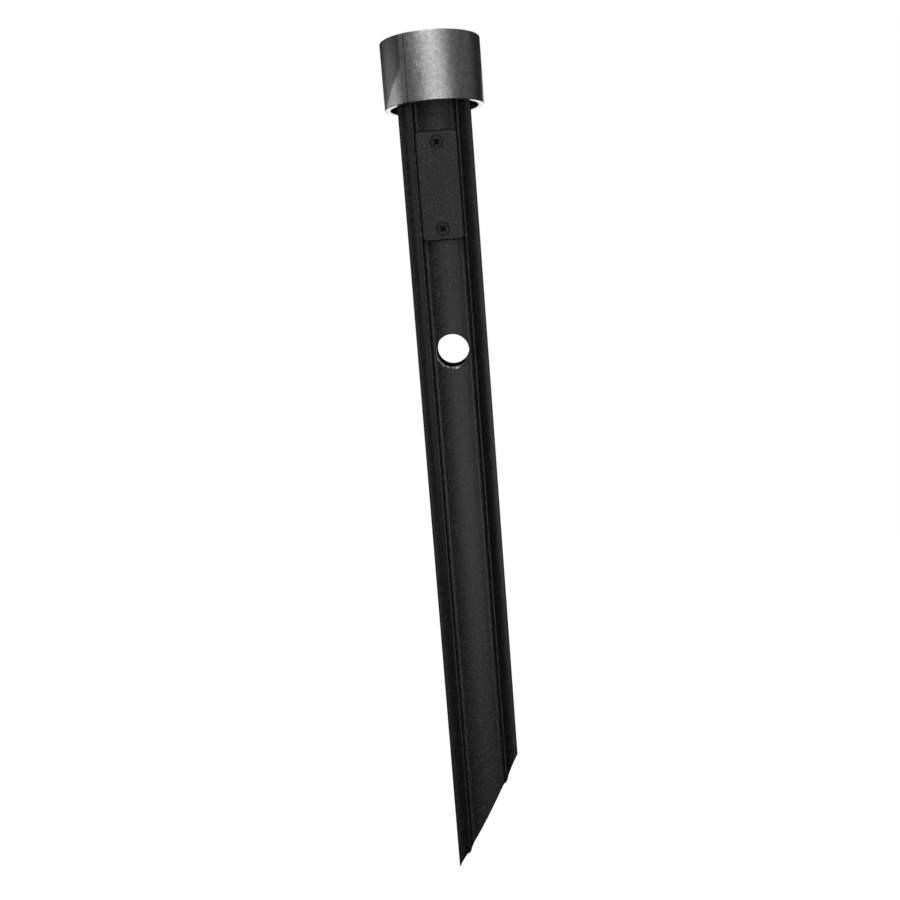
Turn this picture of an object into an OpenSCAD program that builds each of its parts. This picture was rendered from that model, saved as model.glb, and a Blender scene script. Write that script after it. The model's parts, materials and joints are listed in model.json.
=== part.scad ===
// Post anchor spike: a mitred, extruded spike that is driven into the ground, with a bare
// metal collar on its head. A round post or lamp pole stands in the collar's socket, on the
// head plate, or sleeves over the collar. A cover plate closes a hand hole in the front wall
// and a cable hole goes through the spike below it.
// Millimetres, +Z up. The origin is in the middle of the collar's lower edge, which comes
// down to the ground when the spike is driven in. The front, with the cover plate, faces -Y.

/* [Collar] */
// Outside diameter of the collar tube
collar_od = 76.2; // [74:0.1:80]
// Wall of the collar tube
collar_wall = 4.6; // [4:0.1:4.8]
// Height of the collar tube
collar_h = 49; // [44:1:60]
// Depth of the post socket, from the rim down to the head plate
socket_depth = 27; // [24:1:34]
// How much wider the collar's bore is below the shoulder that the head plate stands against
relief = 0.4; // [0.4:0.1:1]
// Rounding of the collar's rims
rim_r = 0.6; // [0.3:0.1:1]

/* [Head plate] */
// Thickness of the head plate that closes the spike's top
head_plate_t = 6; // [5:0.5:8]
// Diameter of the wire hole in the head plate
wire_hole_d = 25.4; // [16:0.1:28]
// Thread diameter of the screws that hold the head plate down
head_screw_d = 4.9; // [4:0.1:5.2]
// Length of the head plate's screws
head_screw_len = 24; // [18:1:40]

/* [Spike] */
// Width of the spike across its ribs, both ways
spike_w = 55; // [54:0.5:56]
// Length from the collar's lower edge to the point
spike_len = 615; // [400:5:900]
// Radius of the coves in the spike's four corners
cove_r = 9.5; // [9:0.1:10]
// Radius of the rounded ribs beside each face
rib_r = 1.05; // [1:0.05:1.1]
// How far the crown of each face lies below its ribs
crown_drop = 1.5; // [1.3:0.1:1.8]
// Radius of each face's outward curve
face_r = 34; // [32:0.5:45]
// Radius of the hollow between each rib's foot and the face
foot_r = 2.6; // [2:0.1:2.6]
// Diameter of the round core inside the spike
core_d = 43; // [38:0.5:43.5]
// Angle of the point's cut, up from level
point_angle = 60.4; // [50:0.1:68]

/* [Cable hole] */
// Diameter of the cable hole through the front and back walls
cable_hole_d = 25.4; // [20:0.1:27]
// Distance of the cable hole below the collar
cable_hole_drop = 184; // [150:1:240]

/* [Cover] */
// Width of the cover plate, between the ribs
cover_w = 31.5; // [26:0.5:31.5]
// Height of the cover plate
cover_h = 80.5; // [78:0.5:90]
// Thickness of the cover plate
cover_t = 2.2; // [2.2:0.1:3]
// Corner radius of the cover plate
cover_corner_r = 3; // [2:0.5:5]
// Distance of the cover plate's middle below the collar
cover_drop = 60.4; // [58:0.1:75]
// Distance between the two cover screws
cover_screw_pitch = 63.5; // [62:0.5:66]
// Thread diameter of the cover screws
cover_screw_d = 5; // [4.5:0.1:5]
// Length of the cover screws
cover_screw_len = 12; // [11:0.5:15]
// Width of the hand hole behind the cover
hand_hole_w = 21; // [16:0.5:24]
// Height of the hand hole behind the cover
hand_hole_h = 46; // [36:1:48]

/* [Clamping screws] */
// Thread diameter of the grub screws that clamp the post
grub_d = 6; // [5:1:8]
// Length of the grub screws
grub_len = 4; // [3:0.5:4]
// Angle of each grub screw from straight back
grub_angle = 45; // [30:5:60]

/* [Hidden] */
$fn = 96;
eps = 0.5;                                    // how far a cutter runs past a face
fit = 0.05;                                   // radial clearance of a screw in its thread
diagonals = [45:90:315];
sides = [0:90:270];

// Levels on Z
seat_z = collar_h - socket_depth;             // the post's foot stands here
spike_top = seat_z - head_plate_t;
point_z = -spike_len;
cable_hole_z = -cable_hole_drop;
cover_z = -cover_drop;
upper_screw_z = cover_z + cover_screw_pitch / 2;
lower_screw_z = cover_z - cover_screw_pitch / 2;
grub_z = seat_z + socket_depth / 2;

// Section of the spike
half_w = spike_w / 2;
crown = half_w - crown_drop;                  // level of the middle of each face
rib_y = half_w - rib_r;
rib_x = half_w - cove_r - rib_r;
rib_inside = rib_x - rib_r;                   // the ribs' flanks beside a face
face_at = crown - face_r;                     // middle of a face's curve
foot_x = rib_inside - foot_r;                 // middle of a foot's hollow
foot_y = face_at + sqrt(pow(face_r + foot_r, 2) - foot_x * foot_x);
foot_end = face_r / (face_r + foot_r);        // where the hollow runs into the face
core_r = core_d / 2;
port_r = head_screw_d / 2 + fit;              // screw ports, open to the core
port_at = half_w * sqrt(2) - cove_r - port_r - 1.8;
port_slot = 2.2;

// Head
bore_r = collar_od / 2 - collar_wall;
head_plate_r = bore_r + relief - fit;
csk_slope = 1;                                // 90 degree countersinks
head_screw_head_d = 9.2;

// Cover, from the front face back
cover_front = -(crown + fit + cover_t);       // the plate lies on the crown
cover_back = cover_front + cover_t;
cover_screw_head_d = 9.2;
cover_csk_d = 10;
flange_d = 10;
flange_t = 1;
insert_d = 7;
insert_len = 9;
recess_w = 5;                                 // width across a cross recess
recess_t = 1.1;                               // width of one of its slots
recess_depth = 1.5;
grub_socket_af = grub_d / 2;

// A rectangle with round corners, centred
module round_rect(w, h, r) {
  square([w - 2 * r, h], center = true);
  square([w, h - 2 * r], center = true);
  for (x = [-1, 1], y = [-1, 1])
    translate([x * (w / 2 - r), y * (h / 2 - r)]) circle(r = r);
}

// Turns a shape that stands on Z so that it points out of the front, along -Y
module facing_front(z) {
  translate([0, 0, z]) rotate([90, 0, 0]) children();
}

// What is cut from a side of the square so that its face bulges between two standing ribs
module above_face() {
  difference() {
    translate([-rib_inside, crown / 2]) square([2 * rib_inside, half_w]);
    translate([0, face_at]) circle(r = face_r, $fn = 240);
    for (m = [0, 1]) mirror([m, 0]) rib_foot();
  }
}

// What fills the corner between a rib and the face, down to a hollow curve
module rib_foot() {
  difference() {
    polygon([[foot_x * foot_end, face_at + (foot_y - face_at) * foot_end],
             [foot_x, foot_y], [rib_inside, foot_y],
             [rib_inside, crown / 2], [foot_x * foot_end, crown / 2]]);
    translate([foot_x, foot_y]) circle(r = foot_r, $fn = 64);
  }
}

// Outline of the extrusion: coved corners, and in each side a bulging face between two ribs
module spike_outline() {
  difference() {
    square(2 * rib_y, center = true);
    for (a = sides) rotate(a) {
      translate([half_w, half_w]) circle(r = cove_r);
      above_face();
    }
  }
  for (a = sides, s = [-1, 1])
    rotate(a) translate([s * rib_x, rib_y]) circle(r = rib_r, $fn = 32);
}

// The core and its four C-shaped screw ports
module spike_core() {
  circle(r = core_r);
  for (a = diagonals) rotate(a) {
    translate([port_at, 0]) circle(r = port_r, $fn = 32);
    translate([core_r - 1, -port_slot / 2]) square([port_at - core_r + 1, port_slot]);
  }
}

// Everything below the slanted cut, which leaves the point at -X
module point_cut() {
  translate([-half_w, 0, point_z]) rotate([0, -point_angle, 0])
    translate([-spike_w, -spike_w, -4 * spike_w])
      cube([6 * spike_w, 2 * spike_w, 4 * spike_w]);
}

module spike_body() {
  color([0.13, 0.13, 0.125]) difference() {
    translate([0, 0, point_z - eps]) linear_extrude(spike_top - point_z + eps)
      difference() {
        spike_outline();
        spike_core();
      }
    point_cut();
    facing_front(cable_hole_z) cylinder(d = cable_hole_d, h = 2 * spike_w, center = true);
    facing_front(cover_z) linear_extrude(spike_w)
      round_rect(hand_hole_w, hand_hole_h, hand_hole_w / 4);
    for (z = [upper_screw_z, lower_screw_z]) facing_front(z) {
      cylinder(d = insert_d + 2 * fit, h = spike_w);
      translate([0, 0, crown - flange_t - fit]) cylinder(d = flange_d + 2 * fit, h = spike_w);
    }
  }
}

// Plate with a wire hole and countersunk holes over the spike's screw ports
module head_plate() {
  color([0.62, 0.63, 0.64]) difference() {
    translate([0, 0, spike_top]) cylinder(r = head_plate_r, h = head_plate_t);
    translate([0, 0, spike_top - eps]) cylinder(d = wire_hole_d, h = head_plate_t + 2 * eps);
    for (a = diagonals) rotate(a) translate([port_at, 0, 0]) {
      translate([0, 0, spike_top - eps]) cylinder(r = port_r + 0.2, h = head_plate_t + 2 * eps);
      countersink(head_screw_head_d + 0.4, seat_z);
    }
  }
}

// A 90 degree cone, wide end up, with its mouth at height top
module countersink(d, top) {
  translate([0, 0, top - d / 2 / csk_slope])
    cylinder(r1 = 0, r2 = d / 2 + eps * csk_slope, h = d / 2 / csk_slope + eps);
}

// A countersunk screw with a cross recess; its head's face is at height 0
module countersunk_screw(d, head_d, len) {
  cone_h = (head_d - d) / 2;
  difference() {
    union() {
      translate([0, 0, -cone_h]) cylinder(r1 = d / 2, r2 = head_d / 2, h = cone_h);
      translate([0, 0, -len]) cylinder(d = d, h = len - cone_h + 0.01);
    }
    for (a = [45, 135]) rotate(a)
      translate([-recess_w / 2, -recess_t / 2, -recess_depth])
        cube([recess_w, recess_t, recess_depth + eps]);
  }
}

// Four screws that hold the head plate down on the spike's screw ports
module head_screws() {
  color([0.7, 0.7, 0.72]) for (a = diagonals) rotate(a)
    translate([port_at, 0, seat_z - 0.15])
      countersunk_screw(head_screw_d, head_screw_head_d, head_screw_len);
}

// Cut length of tube with rounded rims, an inside shoulder on the head plate and two
// threaded holes for the grub screws
module collar() {
  color([0.66, 0.67, 0.68]) difference() {
    rotate_extrude($fn = 180) difference() {
      translate([bore_r + collar_wall / 2, collar_h / 2])
        round_rect(collar_wall, collar_h, rim_r);
      translate([0, -eps]) square([bore_r + relief, seat_z + eps]);
    }
    for (s = [-1, 1]) grub_axis(s) cylinder(d = grub_d + 2 * fit, h = collar_od);
  }
}

// The line of a grub screw: Z points outwards, behind the collar, on side s
module grub_axis(s) {
  translate([0, 0, grub_z]) rotate([0, 0, 90 - s * grub_angle]) rotate([0, 90, 0]) children();
}

// Grub screw with a hexagon socket, drawn back until its tip is clear of the socket
module grub_screw(s) {
  color([0.25, 0.25, 0.26]) grub_axis(s) translate([0, 0, bore_r + 0.1]) difference() {
    union() {
      cylinder(r1 = grub_d / 2 - 0.6, r2 = grub_d / 2, h = 0.6);
      translate([0, 0, 0.6]) cylinder(d = grub_d, h = grub_len - 0.6);
    }
    translate([0, 0, grub_len / 2]) cylinder(d = grub_socket_af / cos(30), h = grub_len, $fn = 6);
  }
}

module grub_screw_left() {
  grub_screw(-1);
}

module grub_screw_right() {
  grub_screw(1);
}

// Flat plate with rounded corners and two countersunk holes
module cover_plate() {
  color([0.15, 0.15, 0.145]) difference() {
    facing_front(cover_z) translate([0, 0, -cover_back]) linear_extrude(cover_t)
      round_rect(cover_w, cover_h, cover_corner_r);
    for (z = [upper_screw_z, lower_screw_z]) facing_front(z) {
      cylinder(d = cover_screw_d + 0.4, h = spike_w);
      countersink(cover_csk_d, -cover_front);
    }
  }
}

module cover_screw(z) {
  color([0.12, 0.12, 0.12]) facing_front(z) translate([0, 0, -cover_front])
    countersunk_screw(cover_screw_d, cover_screw_head_d, cover_screw_len);
}

module cover_screw_upper() {
  cover_screw(upper_screw_z);
}

module cover_screw_lower() {
  cover_screw(lower_screw_z);
}

// Threaded insert with its flange sunk in the spike's front wall, under the cover
module insert(z) {
  color([0.72, 0.7, 0.6]) facing_front(z) difference() {
    translate([0, 0, crown - flange_t]) {
      cylinder(d = flange_d, h = flange_t - fit);
      translate([0, 0, -insert_len]) cylinder(d = insert_d, h = insert_len + 0.01);
    }
    cylinder(d = cover_screw_d + 2 * fit, h = spike_w);
  }
}

module insert_upper() {
  insert(upper_screw_z);
}

module insert_lower() {
  insert(lower_screw_z);
}

spike_body();
head_plate();
head_screws();
collar();
grub_screw_left();
grub_screw_right();
cover_plate();
cover_screw_upper();
cover_screw_lower();
insert_upper();
insert_lower();
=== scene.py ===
# %% [markdown]
# # Post anchor spike
# A black extruded spike with a bare metal collar on its head. The CAD model gives the
# places, the joints and the hidden pieces. This script rebuilds the pieces that are seen,
# with softer edges and finer detail, and gives every piece a procedural material.

# %% Load the frame
import json
import math

import bpy
from mathutils import Matrix, Vector

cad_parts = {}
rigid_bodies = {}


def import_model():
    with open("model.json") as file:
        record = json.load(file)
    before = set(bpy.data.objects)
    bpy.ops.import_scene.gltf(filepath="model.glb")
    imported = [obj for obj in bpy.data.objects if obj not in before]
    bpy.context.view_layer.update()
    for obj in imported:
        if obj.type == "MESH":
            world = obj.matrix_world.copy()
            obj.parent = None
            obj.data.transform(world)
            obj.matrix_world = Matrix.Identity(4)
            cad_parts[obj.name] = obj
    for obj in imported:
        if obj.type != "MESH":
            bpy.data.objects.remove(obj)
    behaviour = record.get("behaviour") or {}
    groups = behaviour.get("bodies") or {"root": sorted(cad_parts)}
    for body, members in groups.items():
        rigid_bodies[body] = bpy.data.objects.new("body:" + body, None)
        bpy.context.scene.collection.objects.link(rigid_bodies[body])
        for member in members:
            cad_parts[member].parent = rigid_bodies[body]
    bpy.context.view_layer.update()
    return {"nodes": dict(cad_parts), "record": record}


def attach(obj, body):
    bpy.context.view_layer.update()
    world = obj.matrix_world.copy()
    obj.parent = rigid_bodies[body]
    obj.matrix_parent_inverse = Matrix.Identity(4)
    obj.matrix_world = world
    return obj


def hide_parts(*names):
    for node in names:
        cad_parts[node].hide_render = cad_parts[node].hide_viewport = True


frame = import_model()
mm = 0.001

# %% [markdown]
# ## Modelling helpers
# Every piece starts as a primitive at its real place, or as a single point that is drawn out
# into a profile. `arc` uses the spin tool, which turns clockwise for a positive angle, so the
# sign is changed here to make a positive angle run anticlockwise about the axis.

# %% Modelling helpers
def primitive(kind, name, **where):
    """Adds a primitive, puts its place and size into its vertices and names it."""
    if bpy.context.object and bpy.context.object.mode != "OBJECT":
        bpy.ops.object.mode_set(mode="OBJECT")
    bpy.ops.object.select_all(action="DESELECT")
    getattr(bpy.ops.mesh, f"primitive_{kind}_add")(**where)
    bpy.ops.object.transform_apply(location=True, rotation=True, scale=True)
    piece = bpy.context.object
    piece.name = piece.data.name = name
    return piece


def activate(piece):
    """Makes piece the only selected object."""
    if bpy.context.object and bpy.context.object.mode != "OBJECT":
        bpy.ops.object.mode_set(mode="OBJECT")
    bpy.ops.object.select_all(action="DESELECT")
    piece.select_set(True)
    bpy.context.view_layer.objects.active = piece


def choose(piece, test, what="VERT"):
    """Enters edit mode with the parts selected whose middle and normal pass the test."""
    activate(piece)
    modes = ("VERT", "EDGE", "FACE")
    bpy.context.tool_settings.mesh_select_mode = [what == mode for mode in modes]
    mesh = piece.data
    for parts in (mesh.polygons, mesh.edges, mesh.vertices):
        parts.foreach_set("select", [False] * len(parts))
    if what == "VERT":
        for v in mesh.vertices:
            v.select = test(v.co, v.normal)
    elif what == "FACE":
        for p in mesh.polygons:
            p.select = test(p.center, p.normal)
    else:
        for e in mesh.edges:
            a, b = (mesh.vertices[i].co for i in e.vertices)
            e.select = test((a + b) / 2, b - a)
    bpy.ops.object.mode_set(mode="EDIT")


def point(name, x, y, z):
    """A single vertex, which go() and arc() draw out into a profile. In millimetres."""
    piece = primitive("plane", name, size=mm, location=(x * mm, y * mm, z * mm))
    bpy.ops.object.mode_set(mode="EDIT")
    bpy.ops.mesh.select_mode(type="VERT")
    bpy.ops.mesh.select_all(action="SELECT")
    bpy.ops.mesh.merge(type="CENTER")
    return piece


def go(x=0.0, y=0.0, z=0.0):
    """Draws a straight line from the last point."""
    bpy.ops.mesh.extrude_region_move(
        TRANSFORM_OT_translate={"value": (x * mm, y * mm, z * mm)})


def arc(middle, degrees, steps, axis=(0, 0, 1)):
    """Draws an arc about the middle from the last point."""
    bpy.ops.mesh.spin(steps=steps, angle=-math.radians(degrees), axis=axis,
                      center=Vector(middle) * mm)


def revolve(axis, middle, steps):
    """Spins the whole profile once about an axis and closes it."""
    bpy.ops.mesh.select_all(action="SELECT")
    bpy.ops.mesh.spin(steps=steps, angle=math.tau, axis=axis, center=Vector(middle) * mm)
    tidy_mesh()


def tidy_mesh():
    """Joins vertices that coincide and turns all faces outwards."""
    bpy.ops.mesh.select_all(action="SELECT")
    bpy.ops.mesh.remove_doubles(threshold=0.002 * mm)
    bpy.ops.mesh.normals_make_consistent(inside=False)


def four_times():
    """Repeats the drawn profile in the other three quarters."""
    bpy.ops.mesh.select_all(action="SELECT")
    for quarter in range(3):
        bpy.ops.mesh.duplicate()
        bpy.ops.transform.rotate(value=math.pi / 2, orient_axis="Z", center_override=(0, 0, 0))
    bpy.ops.mesh.select_all(action="SELECT")
    bpy.ops.mesh.remove_doubles(threshold=0.005 * mm)


def cut(piece, *cutters):
    """Cuts the cutters out of the piece and deletes them."""
    for cutter in cutters:
        activate(piece)
        cutter_cut = piece.modifiers.new("cut", "BOOLEAN")
        cutter_cut.operation = "DIFFERENCE"
        cutter_cut.solver = "EXACT"
        cutter_cut.object = cutter
        bpy.ops.object.modifier_apply(modifier=cutter_cut.name)
        bpy.data.objects.remove(cutter)


def finish_piece(piece, body, material_slot, *nodes):
    """Smooths the piece, hangs it on its body and hides the nodes it stands for."""
    activate(piece)
    bpy.ops.object.shade_smooth_by_angle(angle=math.radians(30))
    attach(piece, body)
    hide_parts(*nodes)
    size = [round(d / mm, 2) for d in piece.dimensions]
    print(piece.name, "size in mm", size, "faces", len(piece.data.polygons))

# %% [markdown]
# ## The spike's section
# The spike is an extrusion, so all of its detail is in one flat section. One side is drawn
# from the middle of a cove to the middle of the next: half a cove, a bead on a thin rib, a
# bulging face, and the same again. Three turned copies close the ring. The core is drawn in
# the same way, with a C-shaped screw port in each quarter.

# %% The spike's section
half_w, cove_r, rib_r, face_r, crown = 27.5, 9.5, 1.05, 34.0, 26.0
rib_x = half_w - cove_r - rib_r
rib_y = half_w - rib_r
inside = rib_x - rib_r
face_middle = face_r - crown
foot_r = 2.6
foot_x = inside - foot_r
foot_y = math.sqrt((face_r + foot_r) ** 2 - foot_x ** 2) - face_middle
foot_turn = math.degrees(math.atan2(foot_y + face_middle, foot_x))
cove_start = cove_r * math.sin(math.radians(45))
cove_turn = 45 - math.degrees(math.asin(rib_r / cove_r))
ledge = half_w - math.sqrt(cove_r ** 2 - rib_r ** 2) - (rib_x + rib_r)
top_z = 16.0

spike = point("spike", -half_w + cove_start, -half_w + cove_start, top_z)
arc((-half_w, -half_w, top_z), -cove_turn, 12)
go(x=abs(ledge))
arc((-rib_x, -rib_y, top_z), 180, 14)
go(y=rib_y - foot_y)
arc((-foot_x, -foot_y, top_z), foot_turn - 180, 12)
arc((0, face_middle, top_z), 180 - 2 * foot_turn, 36)
arc((foot_x, -foot_y, top_z), foot_turn - 180, 12)
go(y=foot_y - rib_y)
arc((rib_x, -rib_y, top_z), 180, 14)
go(x=abs(ledge))
arc((half_w, -half_w, top_z), -cove_turn, 12)
four_times()
bpy.ops.object.mode_set(mode="OBJECT")

core_r, port_r, port_slot = 21.5, 2.5, 2.2
port_at = half_w * math.sqrt(2) - cove_r - port_r - 1.8
slot_turn = math.degrees(math.asin(port_slot / 2 / core_r))
port_turn = math.degrees(math.asin(port_slot / 2 / port_r))
lip = port_at - math.sqrt(port_r ** 2 - (port_slot / 2) ** 2)
lip -= math.sqrt(core_r ** 2 - (port_slot / 2) ** 2)
slant = lip * math.sqrt(0.5)
port_middle = port_at * math.sqrt(0.5)
core = point("core", core_r, 0, top_z)
arc((0, 0, top_z), 45 - slot_turn, 16)
go(x=slant, y=slant)
arc((port_middle, port_middle, top_z), 360 - 2 * port_turn, 24)
go(x=-slant, y=-slant)
arc((0, 0, top_z), 45 - slot_turn, 16)
four_times()
activate(core)
spike.select_set(True)
bpy.context.view_layer.objects.active = spike
bpy.ops.object.join()
print("section points", len(spike.data.vertices), "edges", len(spike.data.edges))

# %% [markdown]
# ## Extruding and pointing the spike
# The section is filled between its two outlines and drawn down along the spike. A bisecting
# plane at 60.4 degrees then cuts the point off, and fills the cut wall again.

# %% Extrude and point
point_z, point_angle = -615.0, math.radians(60.4)
bpy.ops.object.mode_set(mode="EDIT")
bpy.ops.mesh.select_all(action="SELECT")
bpy.ops.mesh.fill(use_beauty=True)
bpy.ops.mesh.extrude_region_move(
    TRANSFORM_OT_translate={"value": (0, 0, (point_z - 5 - top_z) * mm)})
tidy_mesh()
bpy.ops.mesh.bisect(plane_co=(-half_w * mm, 0, point_z * mm), use_fill=True, clear_outer=True,
                    plane_no=(math.sin(point_angle), 0, -math.cos(point_angle)))
tidy_mesh()
bpy.ops.object.mode_set(mode="OBJECT")
print("spike height in mm", round(spike.dimensions.z / mm, 2))

# %% [markdown]
# ## Cable hole
# The hole goes through a curved face, so a plain cone would chamfer it unevenly. The cutter
# is a tube with a flared mouth instead. A shrinkwrap modifier lays the flare's two rings on
# the face's curve, and a mirror modifier makes the back half.

# %% Cable hole
hole_r, hole_z, chamfer, flare_gap = 12.7, -184.0, 0.6, 0.15
flare_r = hole_r + chamfer + flare_gap
mouth_y, flare_y, bore_y = -45.0, -40.0, -38.0
curve = primitive("cylinder", "curve", vertices=360, radius=face_r * mm, depth=0.08,
                  location=(0, face_middle * mm, hole_z * mm))
hole_cutter = primitive("circle", "hole_cutter", vertices=120, radius=flare_r * mm,
                        location=(0, mouth_y * mm, hole_z * mm), rotation=(math.pi / 2, 0, 0))
bpy.ops.object.mode_set(mode="EDIT")
bpy.ops.mesh.select_all(action="SELECT")
go(y=flare_y - mouth_y)
go(y=bore_y - flare_y)
bpy.ops.transform.resize(value=(hole_r / flare_r, 1, hole_r / flare_r),
                         center_override=(0, bore_y * mm, hole_z * mm))
go(y=-bore_y)
choose(hole_cutter, lambda co, n: co.y < (mouth_y + 0.1) * mm)
bpy.ops.mesh.edge_face_add()
bpy.ops.object.mode_set(mode="OBJECT")
for ring, level in (("flare", flare_y), ("bore", bore_y)):
    members = [v.index for v in hole_cutter.data.vertices
               if abs(v.co.y - level * mm) < 0.5 * mm]
    hole_cutter.vertex_groups.new(name=ring).add(members, 1.0, "REPLACE")
for ring, shift in (("flare", -flare_gap), ("bore", chamfer)):
    activate(hole_cutter)
    lay = hole_cutter.modifiers.new("lay", "SHRINKWRAP")
    lay.target = curve
    lay.vertex_group = ring
    lay.wrap_method = "PROJECT"
    lay.use_project_y = True
    bpy.ops.object.modifier_apply(modifier=lay.name)
    group = hole_cutter.vertex_groups[ring].index
    members = {v.index for v in hole_cutter.data.vertices
               if any(g.group == group for g in v.groups)}
    places = {tuple(hole_cutter.data.vertices[i].co) for i in members}
    choose(hole_cutter, lambda co, n: tuple(co) in places)
    bpy.ops.transform.translate(value=(0, shift * mm, 0))
    bpy.ops.object.mode_set(mode="OBJECT")
mirror = hole_cutter.modifiers.new("mirror", "MIRROR")
mirror.use_axis = (False, True, False)
mirror.use_clip = True
bpy.ops.object.modifier_apply(modifier=mirror.name)
bpy.ops.object.mode_set(mode="EDIT")
tidy_mesh()
bpy.ops.object.mode_set(mode="OBJECT")
bpy.data.objects.remove(curve)
cut(spike, hole_cutter)
print("cable hole", 2 * hole_r, "mm wide, chamfer", chamfer, "mm")

# %% [markdown]
# ## Hand hole and insert seats
# These lie under the cover. They are cut all the same, so that the spike is right when the
# cover is off.

# %% Hand hole and insert seats
cover_z, pitch = -60.4, 63.5
screw_levels = (cover_z + pitch / 2, cover_z - pitch / 2)
hand_w, hand_h, hand_corner, reach_in = 21.0, 46.0, 5.25, 40.0
hand_hole = primitive("cube", "hand_hole", size=1,
                      location=(0, -reach_in / 2 * mm, cover_z * mm),
                      scale=(hand_w * mm, reach_in * mm, hand_h * mm))
choose(hand_hole, lambda co, run: abs(run.y) > 0.03, "EDGE")
bpy.ops.mesh.bevel(offset=hand_corner * mm, segments=8, affect="EDGES")
bpy.ops.object.mode_set(mode="OBJECT")
cutters = [hand_hole]
insert_hole, insert_flange = (3.55, 0.0), (5.05, 24.95)
for level in screw_levels:
    for radius, near in (insert_hole, insert_flange):
        cutters.append(primitive("cylinder", "seat", vertices=64, radius=radius * mm,
                                 depth=(reach_in - near) * mm, rotation=(math.pi / 2, 0, 0),
                                 location=(0, -(reach_in + near) / 2 * mm, level * mm)))
cut(spike, *cutters)
finish_piece(spike, "spike", "black_powder_coat", "spike_body")

# %% [markdown]
# ## Collar
# The collar is a cut length of tube. Its wall is drawn once as a closed profile, with round
# rims and the small shoulder inside, and spun about the axis. Two holes at the back take the
# grub screws.

# %% Collar
collar_r, socket_r, relief_r = 38.1, 33.5, 33.9
collar_top, shoulder_z = 49.0, 22.0
rim, lip_rim = 0.6, 0.3
outer_x, inner_x, rim_z = collar_r - rim, socket_r + rim, collar_top - rim
collar = point("collar_tube", relief_r, 0, shoulder_z)
go(z=lip_rim - shoulder_z)
arc((relief_r + lip_rim, 0, lip_rim), -90, 4, axis=(0, 1, 0))
go(x=outer_x - relief_r - lip_rim)
arc((outer_x, 0, rim), -90, 6, axis=(0, 1, 0))
go(z=rim_z - rim)
arc((outer_x, 0, rim_z), -90, 6, axis=(0, 1, 0))
go(x=inner_x - outer_x)
arc((inner_x, 0, rim_z), -90, 6, axis=(0, 1, 0))
go(z=shoulder_z - rim_z)
go(x=relief_r - socket_r)
revolve((0, 0, 1), (0, 0, 0), 180)
bpy.ops.object.mode_set(mode="OBJECT")
grub_z, grub_hole_r, cutter_middle, cutter_length = 35.5, 3.05, 36, 20
for side in (-1, 1):
    out = Vector((side, 1, 0)).normalized()
    turn = (0, math.pi / 2, math.atan2(out.y, out.x))
    cut(collar, primitive("cylinder", "grub_hole", vertices=64, radius=grub_hole_r * mm,
                          depth=cutter_length * mm, rotation=turn,
                          location=out * cutter_middle * mm + Vector((0, 0, grub_z * mm))))
finish_piece(collar, "spike", "bare_metal", "collar")

# %% [markdown]
# ## Grub screws
# Each is spun from a profile with a chamfered tip. A six-sided cutter makes the socket.

# %% Grub screws
grub_r, grub_tip_y, grub_length, tip_slant, end_slant = 3.0, 33.6, 4.0, 0.6, 0.3
key_corner_r, key_depth = 1.732, 2.0
for side, label in ((-1, "left"), (1, "right")):
    grub = point("grub_" + label, 0, grub_tip_y, grub_z)
    go(x=grub_r - tip_slant)
    go(x=tip_slant, y=tip_slant)
    go(y=grub_length - tip_slant - end_slant)
    go(x=-end_slant, y=end_slant)
    go(x=end_slant - grub_r)
    revolve((0, 1, 0), (0, 0, grub_z), 48)
    bpy.ops.object.mode_set(mode="OBJECT")
    cut(grub, primitive("cylinder", "socket", vertices=6, radius=key_corner_r * mm,
                        depth=2 * key_depth * mm, rotation=(math.pi / 2, 0, 0),
                        location=(0, (grub_tip_y + grub_length) * mm, grub_z * mm)))
    activate(grub)
    bpy.ops.transform.rotate(value=side * math.pi / 4, orient_axis="Z",
                             center_override=(0, 0, 0))
    bpy.ops.object.transform_apply(location=True, rotation=True, scale=True)
    finish_piece(grub, label + "_grub", "black_oxide_steel", "grub_screw_" + label)

# %% [markdown]
# ## Cover plate
# A flat bar with round corners. The upright corners are bevelled first, then the front
# outline is softened as a powder coated edge is, and the two countersinks are cut.

# %% Cover plate
crown_y, cover_t = -26.05, 2.2
front_y = crown_y - cover_t
cover_w, cover_h, cover_corner, cover_edge = 31.5, 80.5, 3.0, 0.35
cover = primitive("cube", "cover", size=1, scale=(cover_w * mm, cover_t * mm, cover_h * mm),
                  location=(0, (front_y + cover_t / 2) * mm, cover_z * mm))
choose(cover, lambda co, run: abs(run.y) > mm, "EDGE")
bpy.ops.mesh.bevel(offset=cover_corner * mm, segments=10, affect="EDGES")
choose(cover, lambda co, n: n.y < -0.99, "FACE")
bpy.ops.mesh.region_to_loop()
bpy.ops.mesh.bevel(offset=cover_edge * mm, segments=4, affect="EDGES")
bpy.ops.object.mode_set(mode="OBJECT")
sink_r, sink_hole_r, sink_ahead = 5.0, 2.7, 0.5
sink_depth = sink_r + sink_ahead - sink_hole_r
for level in screw_levels:
    sink = primitive("cone", "sink", vertices=96, radius1=(sink_r + sink_ahead) * mm,
                     radius2=sink_hole_r * mm, depth=sink_depth * mm,
                     rotation=(-math.pi / 2, 0, 0),
                     location=(0, (front_y - sink_ahead + sink_depth / 2) * mm, level * mm))
    choose(sink, lambda co, n: n.y > 0.99, "FACE")
    go(y=2)
    bpy.ops.object.mode_set(mode="OBJECT")
    cut(cover, sink)
finish_piece(cover, "cover", "black_powder_coat", "cover_plate")

# %% [markdown]
# ## Cover screws
# A countersunk screw is a turned shape, so its profile is spun about its axis. The cross
# recess is cut by two tapered blades, which makes its walls lean as a punch leaves them.

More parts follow.
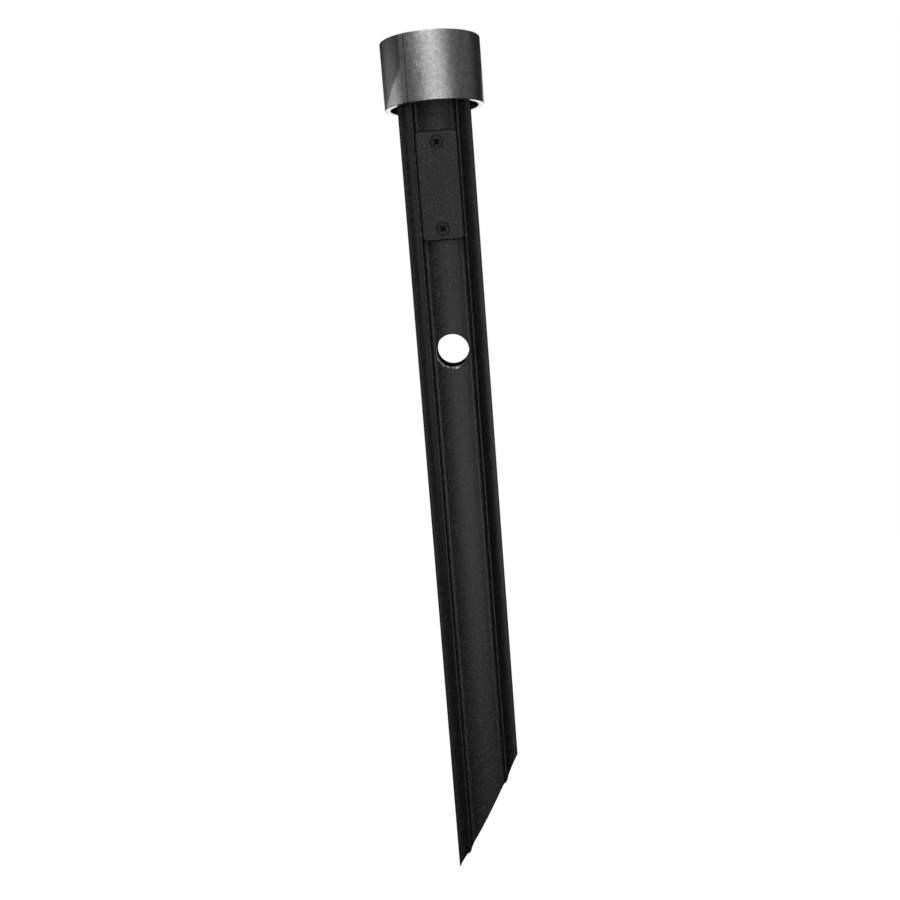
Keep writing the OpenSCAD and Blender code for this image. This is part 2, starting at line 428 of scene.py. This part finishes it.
# %% Cover screws
flat_r, edge_r, shank_r, shank_end, tip = 4.35, 0.25, 2.5, 11.6, 0.4
edge_run = edge_r * math.sqrt(0.5)
head_drop = flat_r + edge_run - shank_r
blade_w, blade_deep, blade_t, blade_at = 6.0, 3.0, 1.6, 1.1
blade_taper = (0.4, 1, 0.5)
for level, label in zip(screw_levels, ("upper", "lower")):
    screw = point("screw_" + label, 0, front_y, level)
    go(x=flat_r)
    arc((flat_r, front_y + edge_r, level), 135, 5)
    go(x=-head_drop, y=head_drop)
    go(y=shank_end - edge_r - edge_run - head_drop)
    go(x=-tip, y=tip)
    go(x=tip - shank_r)
    revolve((0, 1, 0), (0, 0, level), 64)
    bpy.ops.object.mode_set(mode="OBJECT")
    for lean in (45, -45):
        blade = primitive("cube", "blade", size=1,
                          scale=(blade_w * mm, blade_deep * mm, blade_t * mm),
                          location=(0, (front_y + blade_at) * mm, level * mm))
        choose(blade, lambda co, n: n.y > 0.9, "FACE")
        bpy.ops.transform.resize(value=blade_taper,
                                 center_override=(0, 0, level * mm))
        bpy.ops.mesh.select_all(action="SELECT")
        bpy.ops.transform.rotate(value=math.radians(lean), orient_axis="Y",
                                 center_override=(0, 0, level * mm))
        bpy.ops.object.mode_set(mode="OBJECT")
        cut(screw, blade)
    finish_piece(screw, label + "_screw", "black_screw", "cover_screw_" + label)

# %% [markdown]
# ## Shader tools
# Shader maths is easier to read as a formula. `Value` wraps a node's output and gives it
# Python's operators, and `Tree.add` makes any other node.

# %% Shader tools
def both_sides(operation):
    """The two methods that Python needs for an operator, with the value on its left and on
    its right."""
    def on_left(value, other):
        return value.tree.maths(operation, value, other)

    def on_right(value, other):
        return value.tree.maths(operation, other, value)

    return on_left, on_right


class Value:
    """A node's output. Arithmetic on it adds Math nodes."""

    def __init__(self, tree, socket):
        self.tree = tree
        self.socket = socket

    __add__, __radd__ = both_sides("ADD")
    __sub__, __rsub__ = both_sides("SUBTRACT")
    __mul__, __rmul__ = both_sides("MULTIPLY")
    __truediv__, __rtruediv__ = both_sides("DIVIDE")
    __pow__, __rpow__ = both_sides("POWER")

    def __neg__(self):
        return self * -1.0

    def step(self, low, high):
        """Rises smoothly from 0 at low to 1 at high, or falls if low is above high."""
        flip = low > high
        rise = self.tree.add("ShaderNodeMapRange", {"interpolation_type": "SMOOTHSTEP"},
                             {"Value": self, "From Min": min(low, high),
                              "From Max": max(low, high)})
        return 1.0 - rise if flip else rise


class Tree:
    """A new material with a Principled shader."""

    def __init__(self, name):
        self.material = bpy.data.materials.new(name)
        self.material.use_nodes = True
        self.nodes = self.material.node_tree.nodes
        self.links = self.material.node_tree.links
        self.shader = self.nodes["Principled BSDF"]
        self.place = self.add("ShaderNodeTexCoord", output="Object")
        axes = self.add("ShaderNodeSeparateXYZ", {}, {0: self.place}).socket.node
        self.x, self.y, self.z = (Value(self, axes.outputs[i]) for i in range(3))

    def add(self, kind, settings=None, inputs=None, output=0):
        """Adds a node: settings first, then values and links."""
        node = self.nodes.new(kind)
        for key, setting in (settings or {}).items():
            setattr(node, key, setting)
        for key, given in (inputs or {}).items():
            if isinstance(given, Value):
                self.links.new(given.socket, node.inputs[key])
            else:
                node.inputs[key].default_value = given
        return Value(self, node.outputs[output])

    def maths(self, name, *terms):
        """One Math node, on values and numbers."""
        return self.add("ShaderNodeMath", {"operation": name}, dict(enumerate(terms)))

    def noise(self, scale, detail=3.0, roughness=0.5, stretch=(1, 1, 1)):
        """Noise from 0 to 1 on Object coordinates, squeezed by stretch."""
        place = self.add("ShaderNodeVectorMath", {"operation": "MULTIPLY"},
                         {0: self.place, 1: stretch})
        return self.add("ShaderNodeTexNoise", {}, {"Vector": place, "Scale": scale,
                        "Detail": detail, "Roughness": roughness})

    def mix(self, factor, a, b):
        """Colour a where factor is 0 and b where it is 1."""
        return self.add("ShaderNodeMix", {"data_type": "RGBA"},
                        {"Factor": factor, 6: a, 7: b}, output=2)

    def bump(self, height, distance):
        """A normal for a surface that rises by distance where height is 1."""
        return self.add("ShaderNodeBump", {}, {"Height": height, "Distance": distance})

    def finish(self, **inputs):
        """Sets the shader's own sockets."""
        for key, given in inputs.items():
            socket = self.shader.inputs[key.replace("_", " ")]
            if isinstance(given, Value):
                self.links.new(given.socket, socket)
            else:
                socket.default_value = given
        return self.material

# %% [markdown]
# ## Powder coat
# The coat is nearly black, slightly warm, satin and finely grained. On the lowest part of the
# cable hole's rim the coat has chipped off and the bare metal shows, so a mask built from the
# distance to the hole's axis mixes metal in there. Painted shade darkens a thin line round the
# cover's edge and the cones under its screws, where the gaps lie in shade; masks built from
# the distance to its outline and to the screws' axes place it.

# %% Powder coat
def powder_coat(name, holes, sheen, plate=None):
    """holes holds, for each round hole: its level, radius, how wide its rim is chipped, and 1
    if painted shade darkens its inside and a thin ring round it, or 0 if it doesn't. plate
    holds half a plate's width and height, its corner's radius and the level of its middle; a
    painted shade line runs along that outline."""
    t = Tree(name)
    grain = t.noise(820, 2, 0.6)
    fine = t.noise(2600, 1)
    blotch = t.noise(90, 3)
    warm = t.mix(blotch, (0.0034, 0.0034, 0.0029, 1), (0.0052, 0.0052, 0.0045, 1))
    coat = t.mix(grain.step(0.53, 0.64), warm, (0.038, 0.038, 0.0365, 1))
    rough = sheen + 0.08 * blotch + 0.45 * (grain - 0.5)
    chips = t.noise(620, 3).step(0.42, 0.60)
    metal = 0.0
    painted_shade = 0.0
    for level, hole, width, painted_shade_inside in holes:
        drop = t.z - level
        radius = (t.x * t.x + drop * drop) ** 0.5
        low = ((drop + 0.40 * t.x) / hole).step(-0.62, -1.0)
        wander = 2.0 * width * t.noise(260, 2) * low
        band = radius.step(hole - 0.0001, hole) * \
            (radius - wander).step(hole + width, hole + 0.6 * width)
        metal = metal + (1.0 - 0.85 * painted_shade_inside) * band * low * chips * \
            (t.y * t.y).step(0.00052, 0.00056)
        # painted shade inside the countersink and in a thin ring round it, where the gap round
        # the screw head lies in shade
        painted_shade = painted_shade + painted_shade_inside * radius.step(hole + 0.00022, hole + 0.00010)
    if plate:
        half_x, half_z, corner, middle = plate
        rise = t.z - middle
        out_x = (t.x * t.x) ** 0.5 - (half_x - corner)
        out_z = (rise * rise) ** 0.5 - (half_z - corner)
        out_x = t.maths("MAXIMUM", out_x, 0.0)
        out_z = t.maths("MAXIMUM", out_z, 0.0)
        reach = (out_x * out_x + out_z * out_z) ** 0.5
        # painted shade line along the cover's outline, where the gap round the plate lies in
        # shade
        painted_shade = painted_shade + reach.step(corner - 0.00100, corner - 0.00070)
    coat = t.mix(painted_shade, t.mix(metal, coat, (0.52, 0.48, 0.41, 1)), (0.0008, 0.0008, 0.0008, 1))
    bumps = t.bump(grain + 0.5 * fine, 0.00014)
    return t.finish(Base_Color=coat, Roughness=rough - 0.10 * metal + 0.5 * painted_shade,
                    Metallic=metal, Normal=bumps, Specular_IOR_Level=0.42)


coat = powder_coat("black_powder_coat", [(hole_z * mm, hole_r * mm, 0.0006, 0.0)], 0.42)
# the 1.0 gives each countersink its painted shade
sinks = [(level * mm, sink_r * mm, 0.0001, 1.0) for level in screw_levels]
plain_coat = powder_coat("black_powder_coat_cover", sinks, 0.52,
                         (cover_w / 2 * mm, cover_h / 2 * mm, cover_corner * mm, cover_z * mm))

# %% [markdown]
# ## Bare metal
# The tube is mottled grey with small pits, thin scratches that run round it, and a seam line.
# The seam is a dark line where the distance to an upright plane is small. A painted dark
# reflection darkens the left front of the tube, all but a wedge along its lower rim, where the
# left lamp's reflection shows.

# %% Bare metal
t = Tree("bare_metal")
mottle = t.noise(290, 5, 0.7)
fine = t.noise(850, 3, 0.6)
streak = t.noise(70, 3, 0.5, (1, 1, 0.22))
scratch = t.noise(240, 2, 0.5, (1, 0.3, 9)).step(0.66, 0.72)
pits = t.noise(1150, 2).step(0.61, 0.68)
specks = t.noise(900, 2, 0.5, (1, 1, 1.02)).step(0.70, 0.76)
left = -t.x / (collar_r * mm)
seam_angle = math.radians(29)
across = t.x * math.cos(seam_angle) - t.y * math.sin(seam_angle)
along = t.x * math.sin(seam_angle) + t.y * math.cos(seam_angle)
seam = (across * across).step(2.5e-7, 4e-8) * along.step(-0.030, -0.034)
# painted dark reflection on the tube's left front; the wedge along the lower rim is left out
# of it
painted_dark_reflection = left.step(0.565, 0.60) * t.y.step(0.010, -0.002)
slope = 0.003 + 0.068 * (0.92 - left)
reflection_wedge = painted_dark_reflection * (t.z - slope - 0.004 * (mottle - 0.5)).step(0.0022, -0.0022)
metal = t.mix(mottle.step(0.25, 0.75), (0.48, 0.485, 0.50, 1), (0.78, 0.78, 0.78, 1))
metal = t.mix(0.35 * streak, metal, (0.45, 0.45, 0.46, 1))
metal = t.mix(0.75 * painted_dark_reflection * (1.0 - reflection_wedge), metal, (0.10, 0.10, 0.10, 1))
metal = t.mix(0.7 * pits, metal, (0.10, 0.09, 0.085, 1))
metal = t.mix(0.35 * specks, metal, (0.95, 0.95, 0.95, 1))
metal = t.mix(0.8 * seam, metal, (0.08, 0.08, 0.08, 1))
rough = 0.23 + 0.14 * mottle + 0.10 * fine + 0.1 * scratch
height = mottle + 0.6 * fine - 0.5 * pits - 0.1 * scratch
bare = t.finish(Base_Color=metal, Roughness=rough, Metallic=1.0,
                Normal=t.bump(height, 0.00016))

# %% [markdown]
# ## Plate, plating, black oxide and screws
# The turned plate has rings about its axis. Zinc plating is brighter and cloudy. Black oxide
# and the black screws are dark, with fine grain, and the screws have a thread drawn with a
# bump pattern along their shanks. Painted shade darkens the screws' cross recesses.

# %% Plate, plating, black oxide and screws
t = Tree("plain_steel")
radius = (t.x * t.x + t.y * t.y) ** 0.5
rings = t.add("ShaderNodeTexNoise", {"noise_dimensions": "1D"},
              {"W": radius, "Scale": 2600.0, "Detail": 3.0})
tint = t.mix(rings, (0.34, 0.34, 0.35, 1), (0.52, 0.52, 0.53, 1))
plate = t.finish(Base_Color=t.mix(0.3 * t.noise(80), tint, (0.25, 0.23, 0.21, 1)),
                 Roughness=0.3 + 0.15 * rings, Metallic=1.0,
                 Normal=t.bump(rings, 0.00003))

t = Tree("zinc_plated_steel")
cloud = t.noise(350, 4)
zinc = t.finish(Base_Color=t.mix(cloud, (0.55, 0.54, 0.50, 1), (0.72, 0.71, 0.68, 1)),
                Roughness=0.25 + 0.2 * cloud, Metallic=1.0, Normal=t.bump(cloud, 0.00002))

t = Tree("black_oxide_steel")
cloud = t.noise(900, 3)
oxide = t.finish(Base_Color=t.mix(cloud, (0.035, 0.035, 0.04, 1), (0.08, 0.08, 0.085, 1)),
                 Roughness=0.3 + 0.2 * cloud, Metallic=1.0, Normal=t.bump(cloud, 0.00002))

t = Tree("black_screw")
cloud = t.noise(1500, 3)
thread_pitch = 0.0008
ridge = t.maths("SINE", t.y * (math.tau / thread_pitch))
shank = t.y.step(-0.0262, -0.0258)
middle = 0.5 * (screw_levels[0] + screw_levels[1]) * mm
rise = t.maths("ABSOLUTE", t.z - middle) - 0.5 * pitch * mm
reach = (t.x * t.x + rise * rise) ** 0.5
# painted shade: the cross recess is darkened and made rougher where it lies in shade
painted_recess_shade = t.y.step((front_y + 0.12) * mm, (front_y + 0.35) * mm) * reach.step(0.0032, 0.0031)
tint = t.mix(cloud, (0.007, 0.007, 0.0065, 1), (0.013, 0.013, 0.012, 1))
tint = t.mix(painted_recess_shade, tint, (0.001, 0.001, 0.001, 1))
screw_black = t.finish(Base_Color=tint, Roughness=0.40 + 0.12 * cloud + 0.4 * painted_recess_shade,
                       Metallic=0.0, Specular_IOR_Level=0.27,
                       Normal=t.bump(0.06 * cloud + ridge * shank, 0.0002))

finishes = {"black_powder_coat": coat, "bare_metal": bare, "plain_steel": plate,
            "zinc_plated_steel": zinc, "black_oxide_steel": oxide, "black_screw": screw_black}
slots = {s["node"]: s["material_slot"] for s in frame["record"]["subparts"]}
for node, thing in frame["nodes"].items():
    thing.data.materials.clear()
    thing.data.materials.append(finishes[slots[node]])
for thing, finish in ((spike, coat), (cover, plain_coat), (collar, bare)):
    thing.data.materials.clear()
    thing.data.materials.append(finish)
for thing in bpy.data.objects:
    if thing.name.startswith("grub_") and thing.name not in frame["nodes"]:
        thing.data.materials.append(oxide)
    if thing.name.startswith("screw_"):
        thing.data.materials.append(screw_black)
print("materials", [m.name for m in bpy.data.materials])

# %% [markdown]
# ## Stage
# A pale floor whose rim curves up all round keeps the background plain from every side. It
# glows softly by itself and is left out of reflections, so that only the lamps light the part.

# %% Stage
floor_z, floor_reach, bend_r, wall = -615.2, 3500, 1500, 4500
stage = point("stage", 0, 0, floor_z)
go(x=floor_reach)
arc((floor_reach, 0, floor_z + bend_r), -90, 12, axis=(0, 1, 0))
go(z=wall)
revolve((0, 0, 1), (0, 0, 0), 96)
bpy.ops.mesh.normals_make_consistent(inside=True)
bpy.ops.object.mode_set(mode="OBJECT")
bpy.ops.object.shade_smooth()
t = Tree("stage_paper")
haze = t.noise(0.4, 2)
stage.data.materials.append(t.finish(
    Base_Color=(0.05, 0.05, 0.05, 1), Roughness=1.0, Emission_Strength=1.0,
    Emission_Color=t.mix(haze, (1.0, 1.0, 1.0, 1), (0.992, 0.992, 0.992, 1))))
stage.visible_glossy = False
stage.visible_diffuse = False

# %% [markdown]
# ## Lamps
# Nine soft lamps. Two broad ones stand in front: the low one lights the spike and the high
# one the collar. One hangs above, and three weak ones fill in from the left and the right. One
# lights the left edge from behind, a low one stands for the light that a floor throws back,
# and the last lights the back. Each is set by how bright its own surface looks.

# %% Lamps
part_middle = -0.28
warm_white = (1.0, 0.98, 0.95)


def lamp(name, azimuth, height, distance, width, tall, radiance, colour=(1, 1, 1)):
    """A rectangular lamp that faces the part. Azimuth 0 is in front, 90 on the right."""
    data = bpy.data.lights.new(name, "AREA")
    data.shape = "RECTANGLE"
    data.size, data.size_y = width, tall
    data.energy = radiance * math.pi * width * tall
    data.color = colour
    holder = bpy.data.objects.new(name, data)
    bpy.context.scene.collection.objects.link(holder)
    turn = math.radians(azimuth)
    place = Vector((math.sin(turn) * distance, -math.cos(turn) * distance, height))
    holder.location = place
    aim = Vector((0, 0, part_middle)) - place
    holder.rotation_euler = aim.to_track_quat("-Z", "Y").to_euler()
    holder.visible_camera = False


lamp("main_low", 9, -0.47, 1.40, 1.35, 0.68, 2.6)
lamp("main_high", 8, 0.38, 1.40, 1.20, 0.32, 1.45)
lamp("top", -8, 1.15, 1.00, 1.00, 0.70, 6.0)
lamp("left_wing", -42, 0.10, 1.35, 0.50, 1.00, 0.08)
lamp("right_wing", 50, 0.30, 1.35, 0.75, 0.90, 0.09, warm_white)
lamp("right_fill", 90, 0.25, 1.30, 0.75, 0.90, 0.10, warm_white)
lamp("left_low", -105, -0.10, 1.00, 0.90, 0.80, 0.65)
lamp("floor_bounce", 0, -0.60, 0.50, 1.00, 0.50, 0.15)
lamp("back", 180, -0.30, 1.30, 1.20, 1.10, 1.7)
world = bpy.data.worlds.new("world")
world.use_nodes = True
world.node_tree.nodes["Background"].inputs[0].default_value = (0.012, 0.012, 0.012, 1)
bpy.context.scene.world = world

# %% [markdown]
# ## Camera
# The camera stands in front, slightly above the spike's middle, and leans a little, so that
# the spike's head tips to the left.

# %% Camera
eye = bpy.data.cameras.new("camera")
eye.lens, eye.sensor_width = 41.70, 36.0
eye.clip_start, eye.clip_end = 0.05, 30
camera = bpy.data.objects.new("camera", eye)
bpy.context.scene.collection.objects.link(camera)
right = Vector((0.99673, 0.02142, -0.07795)).normalized()
ahead = Vector((-0.03302, 0.98801, -0.15079)).normalized()
up = right.cross(ahead).normalized()
turned = Matrix((right, up, -ahead)).transposed().to_4x4()
camera.matrix_world = Matrix.Translation((0.0188, -0.8278, -0.1383)) @ turned
bpy.context.scene.camera = camera
bpy.context.scene.view_settings.view_transform = "Standard"
print("camera at", [round(c, 4) for c in camera.location])
